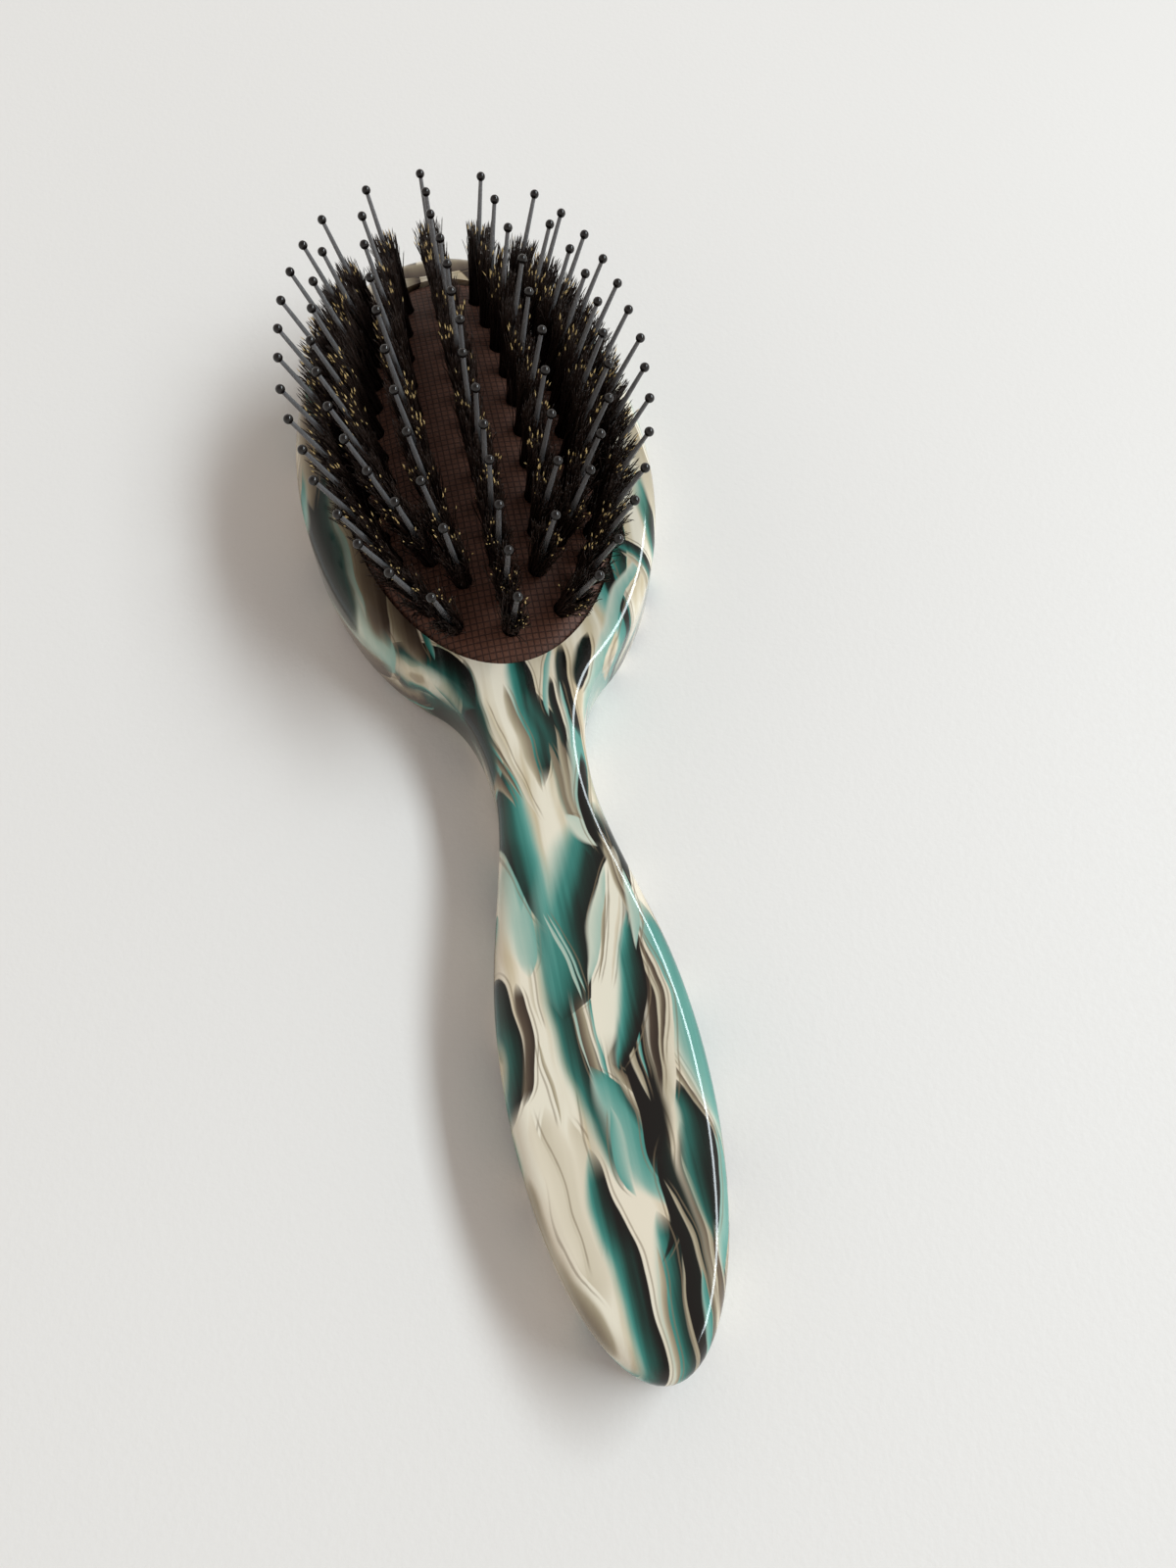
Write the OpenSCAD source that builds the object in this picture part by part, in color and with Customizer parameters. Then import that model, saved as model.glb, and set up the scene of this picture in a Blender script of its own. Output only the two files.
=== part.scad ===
// Oval cushion hairbrush: a polished acetate head and handle, a domed rubber
// cushion, and tufts of boar bristle round ball-tipped nylon pins.
// It lies on its back. X is across, +Y runs from the handle to the head, and
// +Z is the way the bristles point. The origin is under the middle, at the base.

/* [Handle and head] */
// Overall length
length = 205; // [200:1:215]
// Thickness of the acetate
thickness = 14; // [13:0.5:15]
// Radius of the polished edges
edge_r = 3; // [2:0.25:3.5]
// Width of the oval head
head_w = 64; // [63:1:66]
// Length of the oval head
head_len = 102.6; // [102:0.2:104]
// Width of the handle at its widest
handle_w = 30; // [28:1:32]
// Length of the oval that the handle's end follows
handle_len = 81; // [78:1:84]
// Width of the neck at its narrowest
neck_w = 15.8; // [14:0.2:18]
// Distance of the narrowest point from the handle's end
neck_at = 88; // [86:1:90]

/* [Cushion] */
// Width of the oval opening in the head
opening_w = 49.6; // [49:0.2:50]
// Length of the oval opening
opening_len = 88; // [87:0.5:89]
// Thickness of the acetate under the cushion
floor_t = 5; // [4:0.5:5.5]
// How far the cushion's crown stands above the head
dome_h = 4.6; // [4:0.2:5]
// Thickness of the rubber
rubber_t = 1.5; // [1.2:0.1:1.6]
// How far the groove for the cushion's bead is cut behind the opening's edge
groove_depth = 1.4; // [1:0.1:1.6]

/* [Bristles] */
// Length of a pin above the cushion, with its ball
pin_len = 22.5; // [20:0.5:23]
// Radius of the ball on a pin
ball_r = 0.8; // [0.7:0.05:0.9]
// Radius of a pin where it leaves the cushion
pin_root_r = 0.6; // [0.5:0.05:0.62]
// Radius of a pin under its ball
pin_end_r = 0.36; // [0.3:0.02:0.4]
// Length of the boar bristles above the cushion
bristle_len = 14; // [11:0.5:15]
// Radius of a tuft at the cushion
tuft_root_r = 1; // [0.8:0.05:1.05]
// Radius of a tuft at its top
tuft_top_r = 1.6; // [1.3:0.05:1.7]
// How far a pin leans at random from its true direction, in degrees
wander = 1.2; // [0:0.2:1.5]

/* [Hidden] */
oval_steps = 144;
head_y = length / 2 - head_len / 2;
handle_y = handle_len / 2 - length / 2;
neck_y = neck_at - length / 2;

// The outline: two ovals joined by Bezier curves through the neck.
handle_join = 25;
head_join = -62;
handle_steps = 30;
curve_steps = 16;
head_steps = 56;
edge_steps = 8;

function oval(w, l, y, a) = [w / 2 * cos(a), y + l / 2 * sin(a)];
function oval_way(w, l, a) = let (v = [-w / 2 * sin(a), l / 2 * cos(a)]) v / norm(v);
function bezier(p, q, r, s, t) =
    pow(1 - t, 3) * p + 3 * t * pow(1 - t, 2) * q + 3 * t * t * (1 - t) * r + t * t * t * s;

waist = [neck_w / 2, neck_y];
low_join = oval(handle_w, handle_len, handle_y, handle_join);
high_join = oval(head_w, head_len, head_y, head_join);
low_pull = low_join + 10 * oval_way(handle_w, handle_len, handle_join);
high_pull = high_join - 6.5 * oval_way(head_w, head_len, head_join);
along_y = [0, 9];

right_side = [
    for (i = [0:handle_steps])
        oval(handle_w, handle_len, handle_y, -90 + (handle_join + 90) * i / handle_steps),
    for (i = [1:curve_steps])
        bezier(low_join, low_pull, waist - along_y, waist, i / curve_steps),
    for (i = [1:curve_steps])
        bezier(waist, waist + along_y, high_pull, high_join, i / curve_steps),
    for (i = [1:head_steps])
        oval(head_w, head_len, head_y, head_join + (90 - head_join) * i / head_steps)
];
last = len(right_side) - 1;
outline = concat(right_side, [for (i = [last - 1:-1:1]) [-right_side[i][0], right_side[i][1]]]);
around = len(outline);

// Each ring is the outline drawn in by inset, at height z.
function outward(i) =
    let (
        before = outline[(i + around - 1) % around],
        after = outline[(i + 1) % around],
        run = after - before
    ) [run[1], -run[0]] / norm(run);
function ring(inset, z) = [
    for (i = [0:around - 1])
        let (p = outline[i] - inset * outward(i)) [p[0], p[1], z]
];
edge_rings = concat(
    [for (k = [0:edge_steps])
        let (a = 90 * k / edge_steps) [edge_r * (1 - sin(a)), edge_r * (1 - cos(a))]],
    [for (k = [0:edge_steps])
        let (a = 90 * k / edge_steps) [edge_r * (1 - cos(a)), thickness - edge_r * (1 - sin(a))]]
);
rings = len(edge_rings);

// The cushion: its plan is a circle stretched along Y, and its face is a dome.
lip_r = opening_w / 2;
stretch = opening_len / opening_w;
fit_gap = 0.15;
pad_r = lip_r - fit_gap;
pad_edge_z = thickness - 0.6;
crown_z = thickness + dome_h;
dome_rise = crown_z - pad_edge_z;
dome_r = (pad_r * pad_r + dome_rise * dome_rise) / (2 * dome_rise);
dome_z = crown_z - dome_r;
groove_low = 10.2;
groove_high = 12;
wall_t = 1.6;
pad_y = head_y;

// A circle of radius r stretched to the plan of the cushion.
function plan_oval(r) = [
    for (i = [0:oval_steps - 1])
        let (a = 360 * i / oval_steps) [r * cos(a), pad_y + stretch * r * sin(a)]
];
function plan_r(p) = norm([p[0], (p[1] - pad_y) / stretch]);
function face_z(p) = dome_z + sqrt(dome_r * dome_r - pow(plan_r(p), 2));

// Tufts stand in seven columns: half width, middle, half length, start and end
// angle, and number of tufts. The centre column is straight.
centre_from = 13.6;
centre_to = 89.2;
centre_count = 14;
curved_columns = [
    [9.2, 56.5, 46, -46, 42, 10],
    [16.6, 54, 34, -48, 37, 9],
    [20.5, 51.2, 39.8, -63, 52, 14]
];
arc_steps = 200;

function column_point(c, a) = [c[0] * cos(a), c[1] + c[2] * sin(a)];
function column_angle(c, i) = c[3] + (c[4] - c[3]) * i / arc_steps;
function arc_table(c) = [
    for (
        i = 0, run = 0;
        i <= arc_steps;
        i = i + 1,
        run = run + norm(column_point(c, column_angle(c, i)) - column_point(c, column_angle(c, i - 1)))
    ) [run, column_angle(c, i)]
];
function even_points(c) =
    let (table = arc_table(c), whole = table[arc_steps][0])
    [for (k = [0:c[5] - 1]) column_point(c, lookup(whole * k / (c[5] - 1), table))];

// side is -3 to 3, with 0 for the centre column.
function column(side) = side == 0
    ? [for (k = [0:centre_count - 1])
        [0, centre_from + (centre_to - centre_from) * k / (centre_count - 1)]]
    : [for (p = even_points(curved_columns[abs(side) - 1])) [sign(side) * p[0], p[1]]];

// Pins fan out across and along, more so towards the cushion's edge and its far end.
fan_x = 0.0173;
fan_y = 0.0096;
fan_from_y = 42.4;
fan_more = 0.55;
fan_along = 0.007;
function lean(side, k) =
    let (
        p = column(side)[k],
        more = 1 + fan_more * pow(plan_r(p) / lip_r, 2),
        further = 1 + fan_along * (p[1] - pad_y),
        stray = rands(-wander, wander, 2, 1 + k + 40 * (side + 3))
    )
    [
        fan_x * p[0] * more * further + tan(stray[0]),
        fan_y * (p[1] - fan_from_y) * more + tan(stray[1]),
        1
    ];

hole_r = tuft_root_r + 0.6;
bore_r = pin_root_r + 0.08;
knot_r = 1.3;
knot_from = -3.75;
knot_to = -2.95;
foot_r = 1.4;
foot_t = 0.55;
ball_base = pin_len - ball_r - sqrt(ball_r * ball_r - pin_end_r * pin_end_r);

SIDES = ["left_3", "left_2", "left_1", "centre", "right_1", "right_2", "right_3"];

// Puts its children at each tuft of a column, with +Z along the pin.
module at_tufts(side) {
    places = column(side);
    for (k = [0:len(places) - 1]) {
        n = lean(side, k);
        translate([places[k][0], places[k][1], face_z(places[k])])
            rotate([0, acos(n[2] / norm(n)), atan2(n[1], n[0])])
                children();
    }
}

module slab() {
    points = [for (r = edge_rings) each ring(r[0], r[1])];
    sides = [
        for (j = [0:rings - 2])
            for (i = [0:around - 1])
                let (n = (i + 1) % around)
                    [j * around + i, (j + 1) * around + i, (j + 1) * around + n, j * around + n]
    ];
    // The flat back and face are strips across, from each point to its mirror image.
    back = [
        for (i = [0:last - 1])
            [i, i + 1, (around - i - 1) % around, (around - i) % around]
    ];
    above = (rings - 1) * around;
    face = [for (s = back) [s[3], s[2], s[1], s[0]] + above * [1, 1, 1, 1]];
    polyhedron(points, concat(back, face, sides));
}

module handle() {
    color("darkseagreen")
        difference() {
            slab();
            translate([0, 0, floor_t])
                linear_extrude(thickness)
                    polygon(plan_oval(lip_r));
            translate([0, 0, groove_low])
                linear_extrude(groove_high - groove_low)
                    polygon(plan_oval(lip_r + groove_depth));
        }
}

// The cushion's section, from its crown over the edge and the bead and back under the crown.
dome_steps = 9;
under_steps = 6;
pad_around = 72;
under_r = pad_r - wall_t;
bead_r = lip_r + groove_depth - fit_gap;
function dome_at(r, radius) = dome_z + sqrt(radius * radius - r * r);
pad_section = concat(
    [for (i = [1:dome_steps]) let (r = pad_r * i / dome_steps) [r, dome_at(r, dome_r)]],
    [
        [pad_r, groove_high - fit_gap],
        [bead_r, groove_high - fit_gap],
        [bead_r, groove_low + fit_gap],
        [under_r, groove_low + fit_gap]
    ],
    [for (i = [under_steps:-1:1])
        let (r = under_r * i / under_steps) [r, dome_at(r, dome_r - rubber_t)]]
);

// A closed shell swept round the cushion's plan from its section.
module pad_shell() {
    turns = len(pad_section);
    points = concat(
        [[0, pad_y, crown_z]],
        [for (p = pad_section)
            for (i = [0:pad_around - 1])
                let (a = 360 * i / pad_around)
                    [p[0] * cos(a), pad_y + stretch * p[0] * sin(a), p[1]]],
        [[0, pad_y, crown_z - rubber_t]]
    );
    under = len(points) - 1;
    crown_faces = [for (i = [0:pad_around - 1]) [0, 1 + (i + 1) % pad_around, 1 + i]];
    side_faces = [
        for (j = [0:turns - 2])
            for (i = [0:pad_around - 1])
                let (a = 1 + j * pad_around + i, b = 1 + j * pad_around + (i + 1) % pad_around)
                    [a, b, b + pad_around, a + pad_around]
    ];
    under_faces = [
        for (i = [0:pad_around - 1])
            let (first = under - pad_around)
                [under, first + i, first + (i + 1) % pad_around]
    ];
    polyhedron(points, concat(crown_faces, side_faces, under_faces));
}

module cushion() {
    color("saddlebrown")
        difference() {
            pad_shell();
            for (side = [-3:3])
                at_tufts(side)
                    cylinder(r = hole_r, h = 8, center = true, $fn = 24);
        }
}

module pins(side) {
    color("dimgray")
        at_tufts(side)
            rotate_extrude($fn = 24)
                polygon([
                    [0, knot_from - foot_t],
                    [foot_r, knot_from - foot_t],
                    [foot_r, knot_from],
                    [pin_root_r, knot_from],
                    [pin_root_r, 0],
                    [pin_end_r, ball_base],
                    [0, ball_base]
                ]);
}

// A drop of resin: a ball whose underside meets the pin's end.
module ball_tips(side) {
    color("black")
        at_tufts(side)
            intersection() {
                translate([0, 0, pin_len - ball_r]) sphere(r = ball_r, $fn = 32);
                translate([0, 0, ball_base])
                    cylinder(r = 2 * ball_r, h = 3 * ball_r, $fn = 32);
            }
}

// A bundle of bristles with its folded root under the rubber.
module tufts(side) {
    color("peru")
        at_tufts(side)
            rotate_extrude($fn = 24)
                polygon([
                    [bore_r, knot_from],
                    [knot_r, knot_from],
                    [knot_r, knot_to],
                    [tuft_root_r, knot_to],
                    [tuft_root_r, 0],
                    [tuft_top_r, bristle_len],
                    [bore_r, bristle_len]
                ]);
}

handle();
cushion();
for (i = [0:6]) {
    pins(i - 3);
    ball_tips(i - 3);
    tufts(i - 3);
}
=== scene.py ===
"""Looks of an oval cushion hairbrush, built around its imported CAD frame.

The handle, pins and ball tips are the CAD's own meshes with detailed materials.
The rubber cushion and the bristle tufts are modelled here and ride on the CAD bodies.
"""
import math
import random

import bmesh
import bpy
import numpy as np
from mathutils import Matrix, Vector
from mathutils.geometry import delaunay_2d_cdt


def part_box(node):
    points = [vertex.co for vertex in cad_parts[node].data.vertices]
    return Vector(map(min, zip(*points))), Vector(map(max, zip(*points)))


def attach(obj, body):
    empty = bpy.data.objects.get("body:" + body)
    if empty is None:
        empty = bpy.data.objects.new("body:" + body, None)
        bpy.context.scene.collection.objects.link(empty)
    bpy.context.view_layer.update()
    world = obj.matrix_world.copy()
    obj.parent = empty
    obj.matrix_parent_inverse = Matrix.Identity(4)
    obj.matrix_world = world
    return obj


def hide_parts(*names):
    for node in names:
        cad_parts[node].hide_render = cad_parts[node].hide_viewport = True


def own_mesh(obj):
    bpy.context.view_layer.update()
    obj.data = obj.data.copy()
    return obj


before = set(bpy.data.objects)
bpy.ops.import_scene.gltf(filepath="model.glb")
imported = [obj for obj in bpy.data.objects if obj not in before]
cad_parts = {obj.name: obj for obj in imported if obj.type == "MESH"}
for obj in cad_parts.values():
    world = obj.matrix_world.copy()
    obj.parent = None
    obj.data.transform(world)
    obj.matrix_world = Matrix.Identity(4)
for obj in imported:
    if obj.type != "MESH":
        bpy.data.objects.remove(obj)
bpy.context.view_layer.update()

MM = 0.001
SIDES = ["left_3", "left_2", "left_1", "centre", "right_1", "right_2", "right_3"]

# CAD nodes: points closer than this are one, and edges sharper than these degrees stay sharp.
WELD = 1e-6
HANDLE_EDGE = 32
PIN_EDGE = 40

# Cushion, in metres: a dome over an oval that is PAD_STRETCH times as long as wide. Its face
# rolls down by EDGE_DROP over the last EDGE_ROLL, and its underside ends RIM_DROP below the edge.
PAD_RADIUS = 24.60 * MM
PAD_STRETCH = 1.774
PAD_EDGE_Z = 13.4 * MM
EDGE_ROLL = 1.2 * MM
EDGE_DROP = 0.45 * MM
RIM_DROP = 1.1 * MM
SKIN = 1.5 * MM
OUTLINE_STEPS = 200
# The pressed squares repeat every GRID and stand RELIEF high, clear of the rims by RIM_MARGIN.
GRID = 1.1 * MM
RELIEF = 0.085 * MM
RIM_MARGIN = 0.30 * MM
HOLE_RADIUS = 1.62 * MM
HOLE_STEPS = 14
SHARP_FOLD = 50

# Tufts. The foot of a CAD tuft lies this far under the rubber's face, in metres.
FOOT_DEPTH = 3.75 * MM
FIRST_SEED = 100
# Bristles, in mm in their tuft's own frame. HAIR_RINGS are shares of a bristle's length. A tuft
# fans out by HAIR_FAN from root to top, and ALONG_FLARE times as wide along its column as across
# it. Some of its bristles are short, and a few are strays.
HAIRS = 160
HAIR_SIDES = 3
HAIR_RINGS = (0.0, 0.42, 0.78, 0.962)
HAIR_LENGTH = 14.0
HAIR_RADIUS = (0.085, 0.120)
HAIR_FAN = (1.05, 2.3)
HAIR_TWIST = 0.35
ROOT_BELOW = 2.4
ROOT_RADIUS = 1.32
ALONG_FLARE = 1.65
SHORT_SHARE = 0.12
STRAY_SHARE = 0.025


# ---------------------------------------------------------------- node helpers
class Wires:
    """Makes shader nodes and links them. A value may be a number, a tuple or a socket."""

    def __init__(self, tree):
        self.tree = tree

    def put(self, socket, value):
        """Links a socket, or sets a plain value. None leaves the input as it is."""
        if isinstance(value, bpy.types.NodeSocket):
            self.tree.links.new(value, socket)
        elif value is not None:
            socket.default_value = value

    def node(self, kind, inputs=(), **settings):
        made = self.tree.nodes.new(kind)
        for name, value in settings.items():
            setattr(made, name, value)
        for key, value in dict(inputs).items():
            self.put(made.inputs[key], value)
        return made

    def math(self, operation, a, b=None):
        made = self.node("ShaderNodeMath", operation=operation)
        self.put(made.inputs[0], a)
        self.put(made.inputs[1], b)
        return made.outputs[0]

    def add(self, a, b):
        return self.math("ADD", a, b)

    def sub(self, a, b):
        return self.math("SUBTRACT", a, b)

    def mul(self, a, b):
        return self.math("MULTIPLY", a, b)

    def div(self, a, b):
        return self.math("DIVIDE", a, b)

    def vector(self, operation, a, b):
        made = self.node("ShaderNodeVectorMath", operation=operation)
        self.put(made.inputs[0], a)
        self.put(made.inputs[1], b)
        return made.outputs[0]

    def span(self, value, low, high, to_low=0.0, to_high=1.0, smooth=False):
        """value between low and high, taken to the range to_low..to_high."""
        made = self.node(
            "ShaderNodeMapRange",
            {"Value": value, "From Min": low, "From Max": high, "To Min": to_low, "To Max": to_high},
            interpolation_type="SMOOTHSTEP" if smooth else "LINEAR",
        )
        return made.outputs["Result"]

    def mix(self, share, a, b, blend="MIX"):
        made = self.node("ShaderNodeMix", data_type="RGBA", blend_type=blend)
        self.put(made.inputs["Factor"], share)
        self.put(made.inputs[6], a)
        self.put(made.inputs[7], b)
        return made.outputs[2]

    def noise(self, point, scale, detail=2.0, rough=0.5, twist=0.0):
        made = self.node(
            "ShaderNodeTexNoise",
            {"Vector": point, "Scale": scale, "Detail": detail, "Roughness": rough,
             "Distortion": twist},
        )
        return made.outputs["Fac"]

    def split(self, vector):
        return self.node("ShaderNodeSeparateXYZ", {"Vector": vector}).outputs

    def join(self, x, y, z):
        return self.node("ShaderNodeCombineXYZ", {"X": x, "Y": y, "Z": z}).outputs[0]

    def ramp(self, value, stops, interpolation="LINEAR"):
        made = self.node("ShaderNodeValToRGB", {"Fac": value})
        band = made.color_ramp
        band.interpolation = interpolation
        while len(band.elements) < len(stops):
            band.elements.new(0.5)
        for element, (place, colour) in zip(band.elements, stops):
            element.position = place
            element.color = (*colour, 1.0)
        return made.outputs["Color"]

    def millimetres(self):
        """The object's own coordinates, in millimetres."""
        place = self.node("ShaderNodeTexCoord").outputs["Object"]
        return self.vector("MULTIPLY", place, (1000.0, 1000.0, 1000.0))

    def bump(self, height, depth_mm, normal=None):
        made = self.node(
            "ShaderNodeBump",
            {"Height": height, "Strength": 1.0, "Distance": depth_mm * MM, "Normal": normal},
        )
        return made.outputs["Normal"]


def new_material(name):
    """An empty material, its wires and its Principled shader."""
    made = bpy.data.materials.new(name)
    made.use_nodes = True
    made.node_tree.nodes.clear()
    wires = Wires(made.node_tree)
    shader = wires.node("ShaderNodeBsdfPrincipled")
    output = wires.node("ShaderNodeOutputMaterial")
    made.node_tree.links.new(shader.outputs["BSDF"], output.inputs["Surface"])
    return made, wires, shader


# ---------------------------------------------------------------- marbled acetate
CREAM = (0.850, 0.778, 0.640)
COOL = [
    (0.00, CREAM),
    (0.17, (0.54, 0.60, 0.50)),
    (0.30, (0.26, 0.44, 0.375)),
    (0.43, (0.085, 0.315, 0.270)),
    (0.56, (0.030, 0.180, 0.150)),
    (0.70, (0.015, 0.060, 0.048)),
    (0.84, (0.008, 0.011, 0.009)),
    (1.00, (0.007, 0.0045, 0.004)),
]
WARM = [
    (0.00, CREAM),
    (0.25, (0.50, 0.44, 0.31)),
    (0.50, (0.25, 0.205, 0.135)),
    (0.75, (0.090, 0.060, 0.042)),
    (1.00, (0.012, 0.008, 0.006)),
]

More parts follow.
